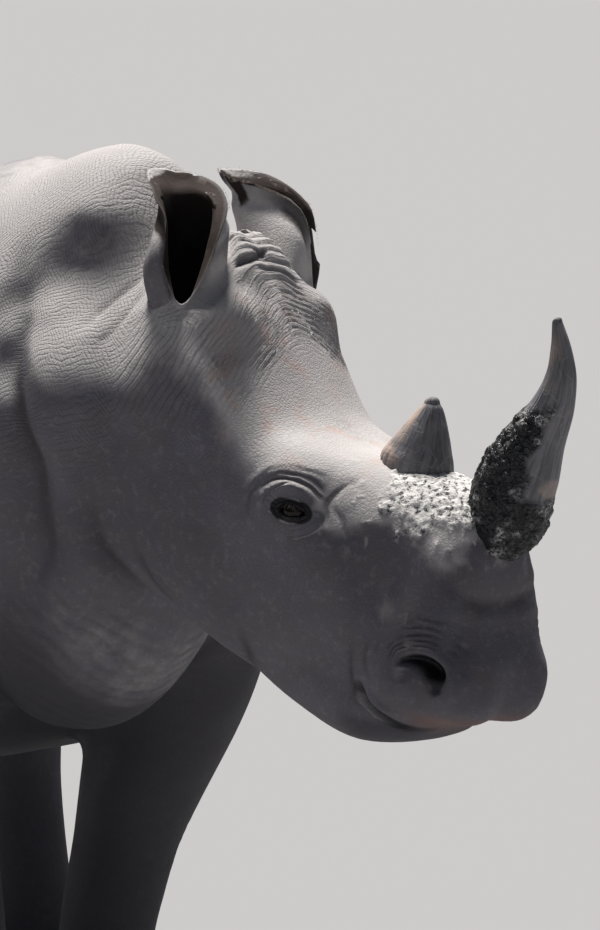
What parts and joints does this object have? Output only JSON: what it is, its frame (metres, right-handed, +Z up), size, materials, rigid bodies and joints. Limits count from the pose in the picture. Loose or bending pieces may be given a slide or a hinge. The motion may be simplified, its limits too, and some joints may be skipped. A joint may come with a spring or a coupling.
{
  "type": "white rhinoceros",
  "caption": "Life-size still model of a white rhinoceros standing in mid step, head turned to its left and carried low, with a curved front horn and a short rear horn.",
  "frame": {"origin": "on the floor, under the middle of the bounding box", "axes": "+X is the way the body faces, +Y is the animal's left, +Z is up"},
  "size_m": [2.9532, 1.08, 1.7694],
  "materials": {
    "hide": "thick, finely wrinkled grey hide with a dry dusty surface",
    "horn": "fibrous keratin, rubbed smooth at the tip and rough at the base",
    "nail": "worn keratin",
    "eye": "wet and glossy",
    "bristle": "stiff dark hair"
  },
  "bodies": {
    "root": {"trunk": "hide", "neck": "hide", "head": "hide", "jaw": "hide", "ear_left": "hide", "ear_right": "hide", "leg_fore_left": "hide", "leg_fore_right": "hide", "leg_hind_left": "hide", "leg_hind_right": "hide", "tail": "hide", "tail_tuft": "bristle", "horn_front": "horn", "horn_rear": "horn", "eye_left": "eye", "eye_right": "eye", "nail_fore_left_1": "nail", "nail_fore_left_2": "nail", "nail_fore_left_3": "nail", "nail_fore_right_1": "nail", "nail_fore_right_2": "nail", "nail_fore_right_3": "nail", "nail_hind_left_1": "nail", "nail_hind_left_2": "nail", "nail_hind_left_3": "nail", "nail_hind_right_1": "nail", "nail_hind_right_2": "nail", "nail_hind_right_3": "nail"}
  },
  "joints": []
}
